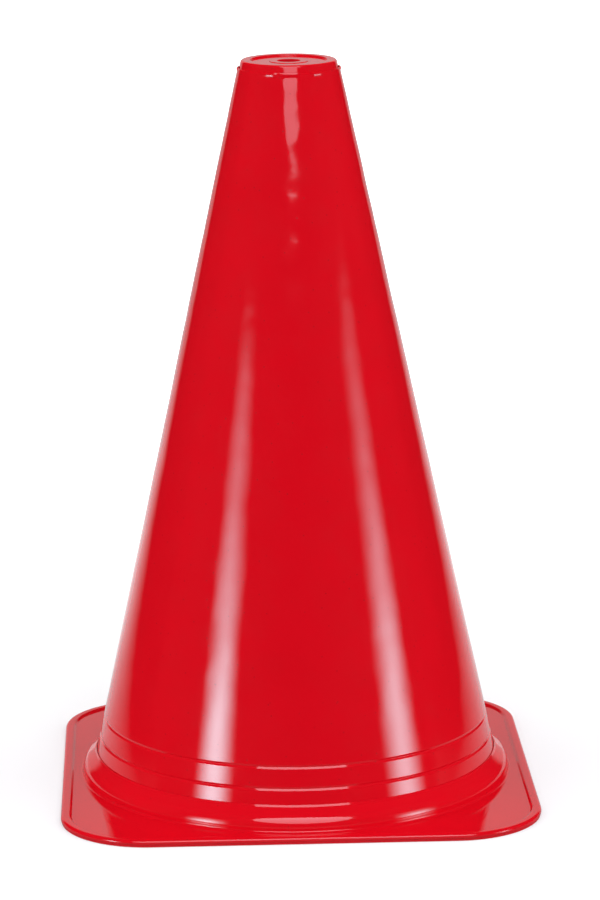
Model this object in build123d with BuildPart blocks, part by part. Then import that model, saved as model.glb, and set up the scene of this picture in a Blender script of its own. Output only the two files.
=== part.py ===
from build123d import *
import os
from math import acos, atan, atan2, cos, hypot, sin

os.makedirs("parts", exist_ok=True)

# Driving dimensions, in millimetres
OVERALL_HEIGHT = 300.0  # floor to the crest of the tip cap
FOOT_RADIUS = 85.6  # outside of the cone wall, carried down to the floor
TIP_RADIUS = 20.9  # outside of the cone at its top edge
WALL = 1.5  # cone wall, square to its surface

# Foot of the cone: the flange that the base sits on
FLANGE_WIDTH = 2.6
FLANGE_THICKNESS = 1.5

# Base: a rounded square tray with a round collar for the cone
COLLAR_HEIGHT = 11.8
COLLAR_OVERHANG = 6.1  # how far the collar stands out from the cone
COLLAR_LIP = 0.25  # thin top edge of the collar, against the cone
UPSTAND_HEIGHT = 0.8  # low bead at the top of the collar
UPSTAND_SPREAD = 0.45
COLLAR_SPRING = 3.1  # height where the collar's round shoulder starts
SHOULDER_RADIUS = 7.4
COLLAR_FILLET = 1.0  # hollow corner between collar and tray floor
SHELF = 8.3  # collar to the base's edge, at the middle of a side
CORNER_RADIUS = 36.0
PLATE_THICKNESS = 2.0
RIM_RISE = 0.9  # rim above the tray floor
RIM_WIDTH = 3.4  # flat and rounded top of the rim
RIM_SLOPE = 48.0  # inner wall of the rim, degrees from upright
RIM_ROUND = 0.5  # inner edge of the rim
EDGE_ROUND = 1.3  # outer edge of the rim
STEP_HEIGHT = 1.2  # mould step round the outside of the rim
STEP_DEPTH = 0.3

# Two grooves round the cone, above the collar
LOWER_BAND = 6.1  # collar to the lower groove
UPPER_BAND = 8.5  # lower groove to the upper groove
GROOVE_WIDTH = 1.6
GROOVE_DEPTH = 0.3

# Mouth of the cone and the cap that closes it
CAP_STAND = 4.1  # crest of the cap above the cone's top edge
LIP_WIDTH = 0.35  # upright edge of the mouth, round the cap
LIP_HEIGHT = 0.7
LEDGE_WIDTH = 3.6  # flat ledge that the cap rests on
LEDGE_THICKNESS = 1.8
CAP_LIP = 3.9  # width of the cap's raised lip
CAP_RECESS = 0.7  # depth of the hollow in the cap's top
CAP_FLOOR = 1.6
CAP_ROUND = 1.0  # outer edge of the cap's lip
CAP_EDGE = 0.3  # inner edge of the cap's lip
HOLE_RADIUS = 4.7
BOSS_WIDTH = 3.2  # raised ring round the hole
BOSS_RISE = 0.2
SKIRT_LENGTH = 6.0  # plug below the seat
SKIRT_WALL = 1.4
SNAP = 0.6  # bead that holds the plug under the ledge
SNAP_LAND = 0.5

# Fits between the pieces
BASE_CLEARANCE = 0.2  # collar and flange recess to the cone, on radius
CAP_CLEARANCE = 0.15  # cap and plug in the cone's mouth, on radius

# Sizes worked out from the ones above
body_height = OVERALL_HEIGHT - CAP_STAND
taper = (FOOT_RADIUS - TIP_RADIUS) / body_height
wall_across = WALL / cos(atan(taper))
seat = body_height - LIP_HEIGHT
ledge_under = seat - LEDGE_THICKNESS
lower_groove = COLLAR_HEIGHT + LOWER_BAND
upper_groove = lower_groove + UPPER_BAND


def outer(height):
    return FOOT_RADIUS - taper * height


def inner(height):
    return outer(height) - wall_across


flange_radius = outer(FLANGE_THICKNESS) + FLANGE_WIDTH
flange_recess = flange_radius + BASE_CLEARANCE
collar_radius = outer(COLLAR_HEIGHT) + COLLAR_OVERHANG
base_width = 2 * (collar_radius + SHELF)
rim_height = PLATE_THICKNESS + RIM_RISE
mouth_radius = TIP_RADIUS - LIP_WIDTH - LEDGE_WIDTH
cap_radius = TIP_RADIUS - LIP_WIDTH - CAP_CLEARANCE
crest_radius = cap_radius - taper * (OVERALL_HEIGHT - seat)
skirt_radius = mouth_radius - CAP_CLEARANCE
recess_floor = OVERALL_HEIGHT - CAP_RECESS

# Cone body: one thin tapered shell, open below, so that cones stack.
# Its foot turns out into a flange, its top turns in to a ledge for the cap.
with BuildPart() as cone_body:
    with BuildSketch(Plane.XZ) as body_section:
        with BuildLine():
            Polyline(
                (inner(0), 0),
                (flange_radius, 0),
                (flange_radius, FLANGE_THICKNESS),
                (outer(FLANGE_THICKNESS), FLANGE_THICKNESS),
                (TIP_RADIUS, body_height),
                (TIP_RADIUS - LIP_WIDTH, body_height),
                (TIP_RADIUS - LIP_WIDTH, seat),
                (mouth_radius, seat),
                (mouth_radius, ledge_under),
                (inner(ledge_under), ledge_under),
                close=True,
            )
        make_face()
        with Locations((outer(lower_groove), lower_groove), (outer(upper_groove), upper_groove)):
            Polygon(
                (-GROOVE_DEPTH, 0),
                (taper * GROOVE_WIDTH, -GROOVE_WIDTH / 2),
                (taper * GROOVE_WIDTH, GROOVE_WIDTH / 2),
                align=None,
                mode=Mode.SUBTRACT,
            )
    revolve(axis=Axis.Z)
cone_body.part.label = "cone_body"
export_step(cone_body.part, "parts/cone_body.step")

# Base: a flat sheet with a raised rim, slipped over the cone from the top.
# The collar's ledge comes to rest on the cone's flange.
with BuildPart() as base_plate:
    with BuildSketch():
        foot_width = base_width - 2 * STEP_DEPTH
        RectangleRounded(foot_width, foot_width, CORNER_RADIUS - STEP_DEPTH)
    extrude(amount=STEP_HEIGHT)
    with BuildSketch(Plane.XY.offset(STEP_HEIGHT)):
        RectangleRounded(base_width, base_width, CORNER_RADIUS)
    extrude(amount=rim_height - STEP_HEIGHT)
    with BuildSketch(Plane.XY.offset(rim_height)):
        tray_width = base_width - 2 * RIM_WIDTH
        RectangleRounded(tray_width, tray_width, CORNER_RADIUS - RIM_WIDTH)
    extrude(amount=-RIM_RISE, taper=RIM_SLOPE, mode=Mode.SUBTRACT)
    crest = base_plate.faces().sort_by(Axis.Z)[-1]
    fillet(crest.outer_wire().edges(), EDGE_ROUND)
    crest = base_plate.faces().sort_by(Axis.Z)[-1]
    fillet(crest.inner_wires()[0].edges(), RIM_ROUND)
    with BuildSketch():
        Circle(flange_recess)
    extrude(amount=rim_height, mode=Mode.SUBTRACT)
    with BuildSketch(Plane.XZ) as collar_section:
        with BuildLine():
            bore_foot = (outer(FLANGE_THICKNESS) + BASE_CLEARANCE, FLANGE_THICKNESS)
            bore_top = (outer(COLLAR_HEIGHT) + BASE_CLEARANCE, COLLAR_HEIGHT)
            lip_top = (bore_top[0] + COLLAR_LIP, COLLAR_HEIGHT)
            lip_foot = (lip_top[0] + UPSTAND_SPREAD, COLLAR_HEIGHT - UPSTAND_HEIGHT)
            centre = (collar_radius - SHOULDER_RADIUS, COLLAR_SPRING)
            run, rise = lip_foot[0] - centre[0], lip_foot[1] - centre[1]
            turn = atan2(rise, run) - acos(SHOULDER_RADIUS / hypot(run, rise))
            shoulder_foot = (collar_radius, COLLAR_SPRING)
            shoulder_top = (centre[0] + SHOULDER_RADIUS * cos(turn), centre[1] + SHOULDER_RADIUS * sin(turn))
            fillet_top = (collar_radius, PLATE_THICKNESS + COLLAR_FILLET)
            fillet_foot = (collar_radius + COLLAR_FILLET, PLATE_THICKNESS)
            Polyline((flange_recess, FLANGE_THICKNESS), bore_foot, bore_top, lip_top, lip_foot, shoulder_top)
            TangentArc(shoulder_foot, shoulder_top, tangent=(0, 1))
            Line(shoulder_foot, fillet_top)
            TangentArc(fillet_top, fillet_foot, tangent=(0, -1))
            Polyline(
                fillet_foot,
                (fillet_foot[0], 0),
                (flange_recess, 0),
                (flange_recess, FLANGE_THICKNESS),
            )
        make_face()
    revolve(axis=Axis.Z)
base_plate.part.label = "base_plate"
export_step(base_plate.part, "parts/base_plate.step")

# Tip cap: a snap-in plug with a raised lip and a hole through its middle.
# Its disc rests on the mouth's ledge and its bead springs out below it.
with BuildPart() as tip_cap:
    with BuildSketch(Plane.XZ) as cap_section:
        with BuildLine():
            floor_under = recess_floor - CAP_FLOOR
            bead_top = ledge_under - CAP_CLEARANCE
            skirt_foot = seat - SKIRT_LENGTH
            Polyline(
                (HOLE_RADIUS, floor_under),
                (HOLE_RADIUS, recess_floor + BOSS_RISE),
                (HOLE_RADIUS + BOSS_WIDTH, recess_floor + BOSS_RISE),
                (HOLE_RADIUS + BOSS_WIDTH, recess_floor),
                (crest_radius - CAP_LIP, recess_floor),
                (crest_radius - CAP_LIP, OVERALL_HEIGHT),
                (crest_radius, OVERALL_HEIGHT),
                (cap_radius, seat),
                (skirt_radius, seat),
                (skirt_radius, bead_top),
                (skirt_radius + SNAP, bead_top),
                (skirt_radius + SNAP, bead_top - SNAP_LAND),
                (skirt_radius, skirt_foot),
                (skirt_radius - SKIRT_WALL, skirt_foot),
                (skirt_radius - SKIRT_WALL, floor_under),
                close=True,
            )
        make_face()
        fillet(cap_section.vertices().group_by(Axis.Y)[-1].sort_by(Axis.X)[-1], CAP_ROUND)
        fillet(cap_section.vertices().group_by(Axis.Y)[-1].sort_by(Axis.X)[0], CAP_EDGE)
    revolve(axis=Axis.Z)
tip_cap.part.label = "tip_cap"
export_step(tip_cap.part, "parts/tip_cap.step")
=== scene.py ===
import bpy
from math import acos, atan, atan2, cos, hypot, pi, radians, sin, tan
from mathutils import Matrix, Vector, noise


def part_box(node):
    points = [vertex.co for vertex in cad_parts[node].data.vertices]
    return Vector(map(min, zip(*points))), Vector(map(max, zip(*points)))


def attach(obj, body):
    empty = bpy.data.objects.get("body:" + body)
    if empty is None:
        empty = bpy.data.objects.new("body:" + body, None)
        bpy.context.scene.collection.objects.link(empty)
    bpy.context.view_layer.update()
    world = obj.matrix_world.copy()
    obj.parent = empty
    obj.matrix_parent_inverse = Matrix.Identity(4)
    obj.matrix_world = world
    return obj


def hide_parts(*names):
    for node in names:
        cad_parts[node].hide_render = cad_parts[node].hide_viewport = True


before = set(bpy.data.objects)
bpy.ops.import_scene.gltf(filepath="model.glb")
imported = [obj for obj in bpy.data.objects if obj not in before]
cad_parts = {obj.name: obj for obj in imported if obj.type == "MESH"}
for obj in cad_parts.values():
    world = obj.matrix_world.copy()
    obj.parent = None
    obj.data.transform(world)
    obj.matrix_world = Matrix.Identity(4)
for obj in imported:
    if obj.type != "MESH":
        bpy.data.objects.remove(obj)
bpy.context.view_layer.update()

# Cone shell: a thin tapered wall of moulded polyethylene, open below so that cones stack.
# Two fine grooves run round its foot, a flange under the collar carries the base, and
# a ledge inside its mouth carries the cap. Flash from the mould is left round the mouth.
MM = 0.001
LATHE_STEPS = 240
foot_radius = 85.6
tip_radius = 20.9
shell_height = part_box("cone_body")[1][2] / MM
flange_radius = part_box("cone_body")[1][0] / MM
shell_wall = 1.5
flange_thickness = 1.5
collar_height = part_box("base_plate")[1][2] / MM
lower_band = 6.1
upper_band = 8.5
groove_half_width = 0.8
groove_depth = 0.3
groove_edge_round = 0.25
groove_margin = 1.2
mouth_lip_width = 0.35
mouth_lip_height = 0.7
mouth_raise = 1.0
mouth_edge_round = 0.15
mouth_radius = 16.95
mouth_ledge_thickness = 1.8
ring_spacing = 2.5
flash_ring_drops = (1.8, 1.4, 0.9, 0.4, 0.25)
shell_taper = (foot_radius - tip_radius) / shell_height
wall_across = shell_wall / cos(atan(shell_taper))
cap_seat = shell_height - mouth_lip_height
ledge_under = cap_seat - mouth_ledge_thickness
lip_inside = tip_radius - mouth_lip_width
mouth_edge = shell_height + mouth_raise
lower_groove = collar_height + lower_band
upper_groove = lower_groove + upper_band
wall_start = upper_groove + 2.0
wall_end = mouth_edge - 2.5


def shell_outside(height):
    return foot_radius - shell_taper * height


def on_wall(height):
    return (shell_outside(height), height)


def rounded(corner, before, after, radius, segments=4):
    # Points of a rounding at a corner of an outline, from the line before it to the line after
    corner = Vector(corner)
    back = (Vector(before) - corner).normalized()
    onward = (Vector(after) - corner).normalized()
    half = back.angle(onward) / 2
    reach = radius * cos(half) / sin(half)
    middle = corner + (back + onward).normalized() * (radius / sin(half))
    start = corner + back * reach - middle
    end = corner + onward * reach - middle
    turns = [step / segments for step in range(segments + 1)]
    return [tuple(middle + start.slerp(end, turn) * radius) for turn in turns]


def lathe(name, outline, closed=True):
    # One vertex is drawn along the outline, in millimetres, and the line is spun round the axis
    bpy.ops.object.select_all(action="DESELECT")
    bpy.ops.mesh.primitive_plane_add(size=MM)
    piece = bpy.context.object
    piece.name = name
    bpy.ops.object.mode_set(mode="EDIT")
    bpy.ops.mesh.select_mode(type="VERT")
    bpy.ops.mesh.select_all(action="SELECT")
    bpy.ops.mesh.merge(type="CENTER")
    radius, height = outline[0]
    bpy.ops.transform.translate(value=(radius * MM, 0, height * MM))
    for next_radius, next_height in outline[1:] + outline[:1] * closed:
        stride = ((next_radius - radius) * MM, 0, (next_height - height) * MM)
        bpy.ops.mesh.extrude_vertices_move(TRANSFORM_OT_translate={"value": stride})
        radius, height = next_radius, next_height
    bpy.ops.mesh.select_all(action="SELECT")
    bpy.ops.mesh.spin(steps=LATHE_STEPS, angle=2 * pi, center=(0, 0, 0), axis=(0, 0, 1))
    bpy.ops.mesh.select_all(action="SELECT")
    bpy.ops.mesh.remove_doubles(threshold=0.01 * MM)
    bpy.ops.mesh.normals_make_consistent(inside=False)
    bpy.ops.object.mode_set(mode="OBJECT")
    return piece


shell_outline = [
    (shell_outside(0) - wall_across, 0),
    (flange_radius, 0),
    (flange_radius, flange_thickness),
    on_wall(flange_thickness),
]
for height in (lower_groove, upper_groove):
    wall_below = on_wall(height - groove_margin)
    lower = on_wall(height - groove_half_width)
    bottom = (shell_outside(height) - groove_depth, height)
    upper = on_wall(height + groove_half_width)
    wall_above = on_wall(height + groove_margin)
    shell_outline.append(wall_below)
    shell_outline += rounded(lower, wall_below, bottom, groove_edge_round)
    shell_outline += rounded(bottom, lower, upper, groove_edge_round)
    shell_outline += rounded(upper, bottom, wall_above, groove_edge_round)
    shell_outline.append(wall_above)
ring_count = round((wall_end - wall_start) / ring_spacing)
for ring in range(ring_count + 1):
    shell_outline.append(on_wall(wall_start + (wall_end - wall_start) * ring / ring_count))
for drop in flash_ring_drops:
    shell_outline.append(on_wall(mouth_edge - drop))
edge_outside = on_wall(mouth_edge)
edge_inside = (shell_outside(mouth_edge) - mouth_lip_width, mouth_edge)
shell_outline += rounded(edge_outside, shell_outline[-1], edge_inside, mouth_edge_round)
shell_outline += [
    edge_inside,
    (lip_inside, cap_seat),
    (mouth_radius, cap_seat),
    (mouth_radius, ledge_under),
    (shell_outside(ledge_under) - wall_across, ledge_under),
]
cone_shell = lathe("cone_shell", shell_outline)

# Cooling leaves slow waves in the wall and finer ones near the tip, within 0.15 mm of the true cone.
# They fade out towards the grooves and the mouth, and the inside of the wall stays plain.
outer_skin = 0.3
wall_wave_length = 26
wall_wave_depth = 0.30
wall_wave_fade = 15.0
tip_wave_length = 7
tip_wave_depth = 0.18
tip_wave_fade = 3.0
tip_wave_start = 0.5 * wall_end
tip_wave_growth = 0.4 * wall_end
wavy_wall = cone_shell.vertex_groups.new(name="wavy_wall")
wavy_tip = cone_shell.vertex_groups.new(name="wavy_tip")
for vertex in cone_shell.data.vertices:
    height = vertex.co.z / MM
    if hypot(vertex.co.x, vertex.co.y) > (shell_outside(height) - outer_skin) * MM:
        from_ends = max(0, min(height - wall_start, wall_end - height))
        wavy_wall.add([vertex.index], min(1, from_ends / wall_wave_fade), "REPLACE")
        near_tip = min(1, max(0, (height - tip_wave_start) / tip_wave_growth))
        wavy_tip.add([vertex.index], near_tip * min(1, from_ends / tip_wave_fade), "REPLACE")
for group, wave_length, depth in (
    (wavy_wall.name, wall_wave_length, wall_wave_depth),
    (wavy_tip.name, tip_wave_length, tip_wave_depth),
):
    texture = bpy.data.textures.new(group, "CLOUDS")
    texture.noise_scale = wave_length * MM
    waves = cone_shell.modifiers.new(group, "DISPLACE")
    waves.texture = texture
    waves.texture_coords = "LOCAL"
    waves.vertex_group = group
    waves.mid_level = 0.5
    waves.strength = depth * MM
    bpy.ops.object.modifier_apply(modifier=group)

# Flash: where the mould's halves met at the mouth's edge, thin ragged ridges are left.
# Each patch has its bearing round the axis from the front, its half-width and its reach.
flash_patches = (
    (-25, 9, 0.36),
    (-4, 15, 0.14),
    (32, 8, 0.38),
    (-91, 6, 0.50),
    (88, 6, 0.50),
    (150, 12, 0.25),
)
flash_crest = 0.4
flash_foot = 1.4
flash_rise = 0.45
flash_steep_ends = 2.5
ragged_middle = 0.75
ragged_swing = 0.5
ragged_grain = 11
lip_margin = 0.05
for vertex in cone_shell.data.vertices:
    below_edge = mouth_edge - vertex.co.z / MM
    radius = hypot(vertex.co.x, vertex.co.y)
    innermost = shell_outside(vertex.co.z / MM) - mouth_lip_width - lip_margin
    if below_edge < flash_foot and radius > innermost * MM:
        bearing = atan2(vertex.co.x, -vertex.co.y)
        outward = Vector((sin(bearing), -cos(bearing), 0))
        upper_side = below_edge / flash_crest
        lower_side = (flash_foot - below_edge) / (flash_foot - flash_crest)
        lift = Vector((0, 0, flash_rise * max(0, 1 - upper_side)))
        ragged = ragged_middle + ragged_swing * noise.noise(outward * ragged_grain)
        for patch_bearing, half_width, reach in flash_patches:
            off = abs(bearing - radians(patch_bearing)) / radians(half_width)
            grown = max(0, min(1, flash_steep_ends * (1 - off * off))) * ragged * MM
            vertex.co += (outward * min(upper_side, lower_side) * reach + lift) * grown

crisp_corner = radians(40)


def smooth(piece):
    # Smooth shading with crisp corners, and with flat faces kept flat beside their roundings
    bpy.ops.object.select_all(action="DESELECT")
    piece.select_set(True)
    bpy.context.view_layer.objects.active = piece
    bpy.ops.object.shade_smooth_by_angle(angle=crisp_corner)
    piece.modifiers.new("true_normals", "WEIGHTED_NORMAL").keep_sharp = True
    bpy.ops.object.modifier_apply(modifier="true_normals")


smooth(cone_shell)


# Red polyethylene, gloss from a polished mould: a deep even colour under a clear hard shine,
# with a faint mottle in the pigment, fine ripple from the mould, and small pits.
# The pits are drawn wider than real ones, so that they show; their darker colour is painted shade and
# their duller polish is roughness.
def srgb(hex_colour):
    channels = [int(hex_colour[i:i + 2], 16) / 255 for i in (1, 3, 5)]
    linear = [c / 12.92 if c <= 0.04045 else ((c + 0.055) / 1.055) ** 2.4 for c in channels]
    return (*linear, 1.0)


def add_node(tree, kind, settings=None, inputs=None):
    # Adds a node, sets its options, and fills the inputs, by name or number, with values or links
    node = tree.nodes.new(kind)
    for option, value in (settings or {}).items():
        setattr(node, option, value)
    for socket, value in (inputs or {}).items():
        if isinstance(value, bpy.types.NodeSocket):
            tree.links.new(value, node.inputs[socket])
        else:
            node.inputs[socket].default_value = value
    return node


pigment_red = srgb("#D60819")
pigment_deep = srgb("#CE0716")
pit_painted_shade = srgb("#B80815")
mottle_size = 18
smear_size = 9
polish_clean = 0.05
polish_smeared = 0.09
polish_in_pit = 0.25
ripple_size = 5
ripple_depth = 0.1
ripple_strength = 0.12
pit_spacing = 3
pit_width = 0.1
pit_gaps = 0.45
plastic_ior = 1.6
red_plastic = bpy.data.materials.new("moulded_polyethylene_red")
red_plastic.use_nodes = True
tree = red_plastic.node_tree
shader = tree.nodes["Principled BSDF"]
shader.inputs["IOR"].default_value = plastic_ior
place = add_node(tree, "ShaderNodeTexCoord").outputs["Object"]
mottle = add_node(
    tree, "ShaderNodeTexNoise",
    inputs={"Vector": place, "Scale": 1 / (mottle_size * MM), "Detail": 4.0},
).outputs["Fac"]
colour = add_node(
    tree, "ShaderNodeMix", {"data_type": "RGBA"},
    {0: mottle, 6: pigment_red, 7: pigment_deep},
).outputs[2]
smear = add_node(
    tree, "ShaderNodeTexNoise",
    inputs={"Vector": place, "Scale": 1 / (smear_size * MM), "Detail": 5.0},
).outputs["Fac"]
polish = add_node(
    tree, "ShaderNodeMapRange",
    inputs={0: smear, 1: 0.35, 2: 0.75, 3: polish_clean, 4: polish_smeared},
).outputs[0]
ripple = add_node(
    tree, "ShaderNodeTexNoise",
    inputs={"Vector": place, "Scale": 1 / (ripple_size * MM), "Detail": 2.0},
).outputs["Fac"]
ripple_bump = add_node(
    tree, "ShaderNodeBump",
    inputs={"Strength": ripple_strength, "Distance": ripple_depth * MM, "Height": ripple},
).outputs[0]
grit = add_node(
    tree, "ShaderNodeTexVoronoi",
    inputs={"Vector": place, "Scale": 1 / (pit_spacing * MM)},
)
near = add_node(
    tree, "ShaderNodeMath", {"operation": "LESS_THAN"},
    {0: grit.outputs["Distance"], 1: pit_width},
).outputs[0]
pick = add_node(tree, "ShaderNodeSeparateColor", inputs={0: grit.outputs["Color"]}).outputs[0]
pick = add_node(
    tree, "ShaderNodeMath", {"operation": "GREATER_THAN"},
    {0: pick, 1: pit_gaps},
).outputs[0]
pit = add_node(tree, "ShaderNodeMath", {"operation": "MULTIPLY"}, {0: near, 1: pick}).outputs[0]
# The pits' colour is darkened here: painted shade in the pits.
colour = add_node(
    tree, "ShaderNodeMix", {"data_type": "RGBA"},
    {0: pit, 6: colour, 7: pit_painted_shade},
).outputs[2]
dull = add_node(tree, "ShaderNodeMapRange", inputs={0: pit, 3: polish, 4: polish_in_pit}).outputs[0]
tree.links.new(colour, shader.inputs["Base Color"])
tree.links.new(dull, shader.inputs["Roughness"])
tree.links.new(ripple_bump, shader.inputs["Normal"])
cone_shell.data.materials.append(red_plastic)
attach(cone_shell, "root")
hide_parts("cone_body")

# Base: one flat moulding, a rounded-square tray with a low raised rim and a round collar.
# It is slipped over the cone from the top and its collar comes to rest on the cone's flange.
base_width = (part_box("base_plate")[1][0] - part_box("base_plate")[0][0]) / MM
corner_radius = 36.0
corner_segments = 32
plate_thickness = 2.0
rim_rise = 0.9
rim_width = 3.4
rim_slope = radians(48)
rim_inner_round = 0.5
rim_outer_round = 1.3
step_height = 1.2
step_depth = 0.3
collar_overhang = 6.1
collar_lip = 0.25
collar_lip_round = 0.12
upstand_height = 0.8
upstand_spread = 0.45
upstand_round = 0.2
collar_spring = 3.1
shoulder_radius = 7.4
shoulder_segments = 16
collar_fillet = 1.0
fillet_segments = 8
base_clearance = 0.2
rim_run = rim_rise * tan(rim_slope)
rim_height = plate_thickness + rim_rise
flange_recess = flange_radius + base_clearance
collar_radius = shell_outside(collar_height) + collar_overhang
floor_join = collar_radius + collar_fillet + 0.5

# The collar is an open strip, from the tray floor over the shoulder and down the bore
bore_top = shell_outside(collar_height) + base_clearance
lip_top = (bore_top + collar_lip, collar_height)
lip_foot = Vector((bore_top + collar_lip + upstand_spread, collar_height - upstand_height))
shoulder_centre = Vector((collar_radius - shoulder_radius, collar_spring))
lip_from_centre = lip_foot - shoulder_centre
lip_bearing = atan2(lip_from_centre.y, lip_from_centre.x)
shoulder_turn = lip_bearing - acos(shoulder_radius / lip_from_centre.length)
collar_outline = [(floor_join, plate_thickness)]
for step in range(fillet_segments + 1):
    turn = pi / 2 * step / fillet_segments
    outwards = collar_radius + collar_fillet * (1 - sin(turn))
    collar_outline.append((outwards, plate_thickness + collar_fillet * (1 - cos(turn))))
for step in range(shoulder_segments + 1):
    turn = shoulder_turn * step / shoulder_segments
    outwards = shoulder_centre.x + shoulder_radius * cos(turn)
    collar_outline.append((outwards, collar_spring + shoulder_radius * sin(turn)))
collar_outline += rounded(lip_foot, collar_outline[-1], lip_top, upstand_round)
collar_outline += rounded(lip_top, lip_foot, (bore_top, collar_height), collar_lip_round)
collar_outline += [
    (bore_top, collar_height),
    (shell_outside(flange_thickness) + base_clearance, flange_thickness),
    (flange_recess, flange_thickness),
    (flange_recess, 0),
]
collar = lathe("collar", collar_outline, closed=False)

# The tray is a square with bevelled corners, raised in steps to the rim and sunk inside it
foot_width = base_width - 2 * step_depth
step_growth = base_width / foot_width
bpy.ops.object.select_all(action="DESELECT")
bpy.ops.mesh.primitive_plane_add(size=foot_width * MM)
base_tray = bpy.context.object
base_tray.name = "base_tray"
bpy.ops.object.mode_set(mode="EDIT")
bpy.ops.mesh.select_all(action="SELECT")
bpy.ops.mesh.bevel(
    affect="VERTICES", offset=corner_radius * MM, segments=corner_segments, profile=0.5
)
bpy.ops.mesh.select_all(action="SELECT")
step_lift = (0, 0, step_height * MM)
bpy.ops.mesh.extrude_region_move(TRANSFORM_OT_translate={"value": step_lift})
bpy.ops.mesh.extrude_region_move(TRANSFORM_OT_translate={"value": (0, 0, 0)})
bpy.ops.transform.resize(value=(step_growth, step_growth, 1), center_override=step_lift)
rim_lift = (0, 0, (rim_height - step_height) * MM)
bpy.ops.mesh.extrude_region_move(TRANSFORM_OT_translate={"value": rim_lift})
bpy.ops.mesh.inset(thickness=rim_width * MM, depth=0)
bpy.ops.mesh.inset(thickness=rim_run * MM, depth=-rim_rise * MM)
bpy.ops.mesh.delete(type="ONLY_FACE")
bpy.ops.object.mode_set(mode="OBJECT")
base_tray.select_set(True)
collar.select_set(True)
bpy.context.view_layer.objects.active = base_tray
bpy.ops.object.join()


def select_edges(piece, wanted):
    # Selects the edges whose two ends both pass the test, and leaves the piece open for editing
    bpy.ops.object.mode_set(mode="EDIT")
    bpy.ops.mesh.select_mode(type="EDGE")
    bpy.ops.mesh.select_all(action="DESELECT")
    bpy.ops.object.mode_set(mode="OBJECT")
    points = piece.data.vertices
    for edge in piece.data.edges:
        edge.select = all(wanted(points[i].co / MM) for i in edge.vertices)
    bpy.ops.object.mode_set(mode="EDIT")


def inside_edge(point):
    # How far a point lies inside the base's rounded square outline
    straight = base_width / 2 - corner_radius
    x = abs(point.x) - straight
    y = abs(point.y) - straight
    return corner_radius - hypot(max(x, 0), max(y, 0)) - min(max(x, y), 0)


def on_level(point, height):
    return abs(point.z - height) < 0.01


def on_tray_floor(point):
    return on_level(point, plate_thickness) and hypot(point.x, point.y) > floor_join - 0.1


def on_rim(point, inwards):
    return on_level(point, rim_height) and abs(inside_edge(point) - inwards) < 0.2


# The flat underside goes, and two bridges join the tray to the collar, above and below
most_side_corners = 8
bpy.ops.object.mode_set(mode="EDIT")
bpy.ops.mesh.select_mode(type="FACE")
bpy.ops.mesh.select_all(action="DESELECT")
bpy.ops.object.mode_set(mode="OBJECT")
for face in base_tray.data.polygons:
    face.select = len(face.vertices) > most_side_corners
bpy.ops.object.mode_set(mode="EDIT")
bpy.ops.mesh.delete(type="ONLY_FACE")
bpy.ops.object.mode_set(mode="OBJECT")
select_edges(base_tray, on_tray_floor)
bpy.ops.mesh.bridge_edge_loops()
bpy.ops.object.mode_set(mode="OBJECT")
select_edges(base_tray, lambda point: on_level(point, 0))
bpy.ops.mesh.bridge_edge_loops()
bpy.ops.object.mode_set(mode="OBJECT")
select_edges(base_tray, lambda point: on_rim(point, 0))
bpy.ops.mesh.bevel(offset=rim_outer_round * MM, segments=7, profile=0.5, clamp_overlap=True)
bpy.ops.object.mode_set(mode="OBJECT")
select_edges(base_tray, lambda point: on_rim(point, rim_width))
bpy.ops.mesh.bevel(offset=rim_inner_round * MM, segments=4, profile=0.5, clamp_overlap=True)
bpy.ops.mesh.select_all(action="SELECT")
bpy.ops.mesh.normals_make_consistent(inside=False)
bpy.ops.object.mode_set(mode="OBJECT")
smooth(base_tray)
base_tray.data.materials.append(red_plastic)
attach(base_tray, "root")
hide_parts("base_plate")

# Tip cap: a snap-in plug that closes the cone's mouth, with a raised lip round a shallow dish.
# A small ring stands round the hole in its middle, where the plastic was fed into the mould.
cap_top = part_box("tip_cap")[1][2] / MM
cap_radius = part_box("tip_cap")[1][0] / MM
cap_clearance = 0.15
cap_lip_width = 3.9
cap_dish_depth = 0.7
cap_floor = 1.6
cap_crest_round = 1.0
crest_segments = 6
dish_round = 0.3
hole_radius = 4.7
ring_width = 3.2
ring_rise = 0.2
ring_round = 0.08
skirt_length = 6.0
skirt_wall = 1.4
snap_bead = 0.6
bead_land = 0.5
skirt_radius = mouth_radius - cap_clearance
skirt_inside = skirt_radius - skirt_wall
skirt_foot = cap_seat - skirt_length
bead_radius = skirt_radius + snap_bead
bead_top = ledge_under - cap_clearance
dish = cap_top - cap_dish_depth
dish_under = dish - cap_floor
crest_radius = cap_radius - shell_taper * (cap_top - cap_seat)
hole_edge = (hole_radius, dish + ring_rise)
ring_edge = (hole_radius + ring_width, dish + ring_rise)
ring_foot = (hole_radius + ring_width, dish)
dish_foot = (crest_radius - cap_lip_width, dish)
lip_edge = (crest_radius - cap_lip_width, cap_top)
crest_edge = (crest_radius, cap_top)
seat_edge = (cap_radius, cap_seat)
cap_outline = [(hole_radius, dish_under)]
cap_outline += rounded(hole_edge, (hole_radius, dish), ring_edge, ring_round)
cap_outline += rounded(ring_edge, hole_edge, ring_foot, ring_round)
cap_outline += rounded(ring_foot, ring_edge, dish_foot, ring_round)
cap_outline += rounded(dish_foot, ring_foot, lip_edge, dish_round)
cap_outline += rounded(lip_edge, dish_foot, crest_edge, dish_round)
cap_outline += rounded(crest_edge, lip_edge, seat_edge, cap_crest_round, crest_segments)
cap_outline += [
    seat_edge,
    (skirt_radius, cap_seat),
    (skirt_radius, bead_top),
    (bead_radius, bead_top),
    (bead_radius, bead_top - bead_land),
    (skirt_radius, skirt_foot),
    (skirt_inside, skirt_foot),
    (skirt_inside, dish_under),
]
tip_cap = lathe("cap", cap_outline)
smooth(tip_cap)
tip_cap.data.materials.append(red_plastic)
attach(tip_cap, "root")
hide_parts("tip_cap")


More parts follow.
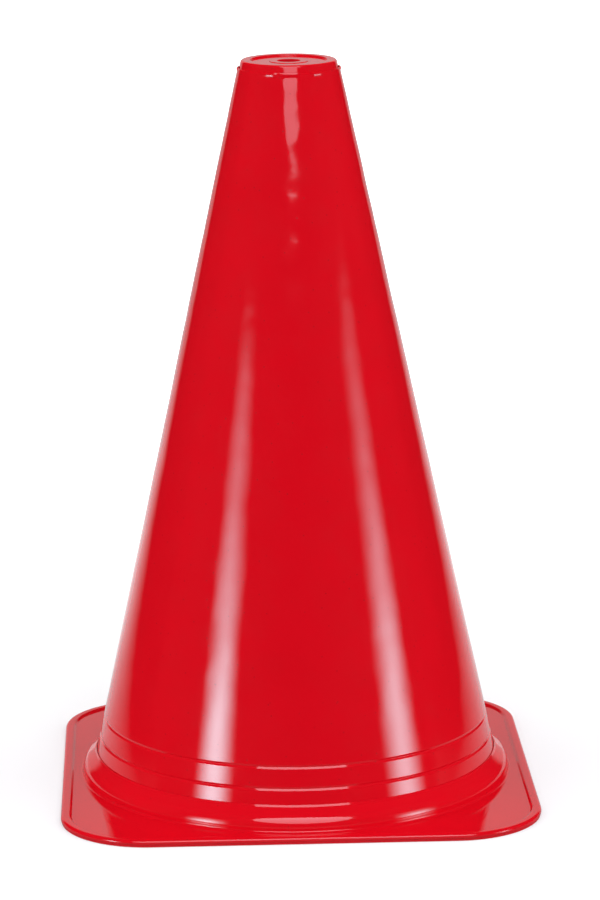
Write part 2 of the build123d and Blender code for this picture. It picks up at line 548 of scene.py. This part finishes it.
# Camera: a long lens a good way off and a little above, nearly square to one side of the base
def bearing_to(azimuth, elevation):
    # Unit vector towards a place round the object, from the front and up from the floor
    flat = cos(elevation)
    return Vector((sin(azimuth) * flat, -cos(azimuth) * flat, sin(elevation)))


eye_distance = 1.6508
eye_height = 0.138
eye_elevation = radians(13.106)
eye_azimuth = radians(-2.019)
eye_roll = radians(-0.54)
aim_aside = 0.0031
lens_length = 160.0
aim = Vector((aim_aside, 0, eye_height))
eye = bearing_to(eye_azimuth, eye_elevation) * eye_distance + Vector((0, 0, eye_height))
camera_data = bpy.data.cameras.new("camera")
camera_data.lens = lens_length
camera = bpy.data.objects.new("camera", camera_data)
bpy.context.collection.objects.link(camera)
turn = (aim - eye).to_track_quat("-Z", "Y").to_matrix().to_4x4()
camera.matrix_world = Matrix.Translation(eye) @ turn @ Matrix.Rotation(eye_roll, 4, "Z")
bpy.context.scene.camera = camera
bpy.context.scene.view_settings.view_transform = "Standard"

# Studio floor: a strip of white paper in a dark room. For the gloss and the bounced light its colour
# is painted darker off the strip, in front of the cone and far behind: painted shade.
# Seen straight it is plain white with the cone's soft shadow, and the gloss mirrors the strip.
paper_white = srgb("#F2F2F2")
paper_in_front_painted_shade = srgb("#6E6E6E")
paper_seen = srgb("#DCDCDC")
room_painted_shade = srgb("#1C1C1C")
paper_half_width = 0.40
paper_spread = 4.5
far_painted_shade_amount = 0.45
shadow_lift = 0.25
floor_size = 14
floor_drop = 0.1
bpy.ops.object.select_all(action="DESELECT")
bpy.ops.mesh.primitive_plane_add(size=floor_size, location=(0, 0, -floor_drop * MM))
floor = bpy.context.object
floor.name = "floor"
paper = bpy.data.materials.new("white_paper")
paper.use_nodes = True
tree = paper.node_tree
shader = tree.nodes["Principled BSDF"]
shader.inputs["Roughness"].default_value = 1.0
shader.inputs["Specular IOR Level"].default_value = 0.0
shader.inputs["Emission Color"].default_value = (1, 1, 1, 1)
place = add_node(tree, "ShaderNodeTexCoord").outputs["Object"]
spot = add_node(tree, "ShaderNodeSeparateXYZ", inputs={0: place})
behind = spot.outputs["Y"]
across = add_node(
    tree, "ShaderNodeMath", {"operation": "ABSOLUTE"},
    {0: spot.outputs["X"]},
).outputs[0]
spread = add_node(
    tree, "ShaderNodeMapRange",
    inputs={0: behind, 1: 0.1, 2: floor_size / 2, 3: 0.0, 4: paper_spread},
).outputs[0]
side = add_node(
    tree, "ShaderNodeMath", {"operation": "SUBTRACT"},
    {0: across, 1: spread},
).outputs[0]
off_paper = add_node(
    tree, "ShaderNodeMapRange",
    inputs={0: side, 1: 0.0, 2: paper_half_width},
).outputs[0]
# Off the strip the floor's colour is painted near black: painted shade of the dim room.
tone = add_node(
    tree, "ShaderNodeMix", {"data_type": "RGBA"},
    {0: off_paper, 6: paper_white, 7: room_painted_shade},
).outputs[2]
# Far behind, the floor's colour is painted darker: painted shade.
far = add_node(
    tree, "ShaderNodeMapRange",
    inputs={0: behind, 1: 0.4, 2: 1.8, 3: 0.0, 4: far_painted_shade_amount},
).outputs[0]
tone = add_node(
    tree, "ShaderNodeMix", {"data_type": "RGBA"},
    {0: far, 6: tone, 7: room_painted_shade},
).outputs[2]
# In front of the cone the floor's colour is painted a mid grey: painted shade, darker than the lamps
# leave it.
front = add_node(tree, "ShaderNodeMapRange", inputs={0: behind, 1: 0.1, 2: -0.12}).outputs[0]
tone = add_node(
    tree, "ShaderNodeMix", {"data_type": "RGBA"},
    {0: front, 6: tone, 7: paper_in_front_painted_shade},
).outputs[2]
seen = add_node(tree, "ShaderNodeLightPath").outputs["Is Camera Ray"]
tone = add_node(
    tree, "ShaderNodeMix", {"data_type": "RGBA"},
    {0: seen, 6: tone, 7: paper_seen},
).outputs[2]
away = add_node(
    tree, "ShaderNodeVectorMath", {"operation": "LENGTH"},
    {0: place},
).outputs["Value"]
lift = add_node(
    tree, "ShaderNodeMapRange", {"interpolation_type": "SMOOTHSTEP"},
    {0: away, 1: 0.15, 2: 0.7, 3: shadow_lift, 4: 1.0},
).outputs[0]
lift = add_node(tree, "ShaderNodeMath", {"operation": "MULTIPLY"}, {0: lift, 1: seen}).outputs[0]
tree.links.new(tone, shader.inputs["Base Color"])
tree.links.new(lift, shader.inputs["Emission Strength"])
floor.data.materials.append(paper)


# Studio light: a large round softbox above the camera and two low ones at the sides. In each place
# one lamp gives the shine, which draws the upright streaks, and a second one lights the colour.
def softbox(name, glow, colour, radiance, azimuth, elevation, distance, width, tall):
    lamp_data = bpy.data.lights.new(name, "AREA")
    lamp_data.shape = "RECTANGLE"
    lamp_data.size = width
    lamp_data.size_y = tall
    lamp_data.energy = radiance * pi * width * tall
    lamp_data.color = colour
    lamp_data.use_nodes = True
    tree = lamp_data.node_tree
    spot = add_node(tree, "ShaderNodeNewGeometry").outputs["Parametric"]
    tree.links.new(glow(tree, spot), tree.nodes["Emission"].inputs["Strength"])
    lamp = bpy.data.objects.new(name, lamp_data)
    bpy.context.collection.objects.link(lamp)
    target = Vector((0, 0, lamp_aim))
    place = target + bearing_to(radians(azimuth), radians(elevation)) * distance
    turn = (target - place).to_track_quat("-Z", "Y").to_matrix().to_4x4()
    lamp.matrix_world = Matrix.Translation(place) @ turn
    return lamp


def low_glow(tree, spot):
    # Brightest at the foot, fading upwards and to both sides
    parts = add_node(tree, "ShaderNodeSeparateXYZ", inputs={0: spot})
    across = parts.outputs[0]
    up = parts.outputs[1]
    side = add_node(tree, "ShaderNodeMath", {"operation": "SUBTRACT"}, {0: across, 1: 0.5}).outputs[0]
    side = add_node(tree, "ShaderNodeMath", {"operation": "ABSOLUTE"}, {0: side}).outputs[0]
    bell = add_node(
        tree, "ShaderNodeMapRange", {"interpolation_type": "SMOOTHSTEP"},
        {0: side, 1: 0.5, 2: 0.0},
    ).outputs[0]
    fall = add_node(
        tree, "ShaderNodeMath", {"operation": "MAXIMUM"},
        {0: up, 1: glow_even_below},
    ).outputs[0]
    fall = add_node(
        tree, "ShaderNodeMath", {"operation": "MULTIPLY"},
        {0: fall, 1: -glow_falloff},
    ).outputs[0]
    fall = add_node(tree, "ShaderNodeMath", {"operation": "EXPONENT"}, {0: fall}).outputs[0]
    top = add_node(
        tree, "ShaderNodeMapRange", {"interpolation_type": "SMOOTHSTEP"},
        {0: up, 1: 1.0, 2: glow_top_fade},
    ).outputs[0]
    fall = add_node(tree, "ShaderNodeMath", {"operation": "MULTIPLY"}, {0: fall, 1: top}).outputs[0]
    return add_node(tree, "ShaderNodeMath", {"operation": "MULTIPLY"}, {0: bell, 1: fall}).outputs[0]


def round_glow(tree, spot):
    # A round screen with a hard edge, brighter towards the top
    middle = add_node(
        tree, "ShaderNodeVectorMath", {"operation": "DISTANCE"},
        {0: spot, 1: (0.5, 0.5, 0)},
    ).outputs["Value"]
    up = add_node(tree, "ShaderNodeSeparateXYZ", inputs={0: spot}).outputs[1]
    glow = add_node(
        tree, "ShaderNodeMapRange",
        inputs={0: up, 3: screen_foot_glow, 4: screen_top_glow},
    ).outputs[0]
    edge = add_node(
        tree, "ShaderNodeMath", {"operation": "LESS_THAN"},
        {0: middle, 1: 0.5},
    ).outputs[0]
    return add_node(tree, "ShaderNodeMath", {"operation": "MULTIPLY"}, {0: glow, 1: edge}).outputs[0]


lamp_aim = 0.15
glow_even_below = 0.3
glow_falloff = 3.8
glow_top_fade = 0.8
screen_foot_glow = 0.36
screen_top_glow = 0.7
day_white = (0.83, 0.94, 1.04)
cool_white = (0.45, 0.94, 1.04)
left = {"azimuth": -48, "elevation": 3, "distance": 0.9, "width": 0.40, "tall": 0.4}
right = {"azimuth": 61, "elevation": 3, "distance": 0.9, "width": 0.44, "tall": 0.4}
front = {"azimuth": 2.0, "elevation": 37.1, "distance": 2.0, "width": 1.75, "tall": 1.4}
shine_lamps = (
    softbox("left_softbox", low_glow, cool_white, radiance=37, **left),
    softbox("right_softbox", low_glow, cool_white, radiance=25, **right),
    softbox("front_softbox", round_glow, day_white, radiance=6.0, **front),
)
for lamp in shine_lamps:
    lamp.visible_diffuse = False
fill_lamps = (
    softbox("left_fill", low_glow, day_white, radiance=16, **left),
    softbox("right_fill", low_glow, day_white, radiance=15, **right),
    softbox("front_fill", round_glow, day_white, radiance=7.8, **front),
)
for lamp in fill_lamps:
    lamp.visible_glossy = False

# Around it all a dim room, with the pale sweep of the paper behind the cone, which the gloss mirrors.
# Soft light from both sides reaches the colour alone, and a camera sees plain white.
sweep_start = 0.8
sweep_full = 0.87
room_glow = 0.01
sweep_glow = 0.5
fill_ahead = 0.38
fill_aside = 2.15
fill_overhead = -0.27
world = bpy.data.worlds.new("studio")
bpy.context.scene.world = world
world.use_nodes = True
world.cycles.sampling_method = "NONE"
tree = world.node_tree
back = tree.nodes["Background"]
path = add_node(tree, "ShaderNodeLightPath")
way = add_node(tree, "ShaderNodeTexCoord").outputs["Generated"]
way = add_node(tree, "ShaderNodeSeparateXYZ", inputs={0: way})
sweep = add_node(
    tree, "ShaderNodeMapRange", {"interpolation_type": "SMOOTHSTEP"},
    {0: way.outputs["Y"], 1: sweep_start, 2: sweep_full, 3: room_glow, 4: sweep_glow},
).outputs[0]
sides = add_node(
    tree, "ShaderNodeMath", {"operation": "ABSOLUTE"},
    {0: way.outputs["X"]},
).outputs[0]
fill = add_node(tree, "ShaderNodeMapRange", inputs={0: sides, 3: fill_ahead, 4: fill_aside}).outputs[0]
above = add_node(
    tree, "ShaderNodeMapRange",
    inputs={0: way.outputs["Z"], 3: 0.0, 4: fill_overhead},
).outputs[0]
fill = add_node(tree, "ShaderNodeMath", {"operation": "ADD"}, {0: fill, 1: above}).outputs[0]
fill = add_node(
    tree, "ShaderNodeMath", {"operation": "MULTIPLY"},
    {0: path.outputs["Is Diffuse Ray"], 1: fill},
).outputs[0]
level = add_node(tree, "ShaderNodeMath", {"operation": "MAXIMUM"}, {0: sweep, 1: fill}).outputs[0]
level = add_node(
    tree, "ShaderNodeMath", {"operation": "MAXIMUM"},
    {0: level, 1: path.outputs["Is Camera Ray"]},
).outputs[0]
tree.links.new(level, back.inputs["Strength"])
back.inputs["Color"].default_value = (1, 1, 1, 1)
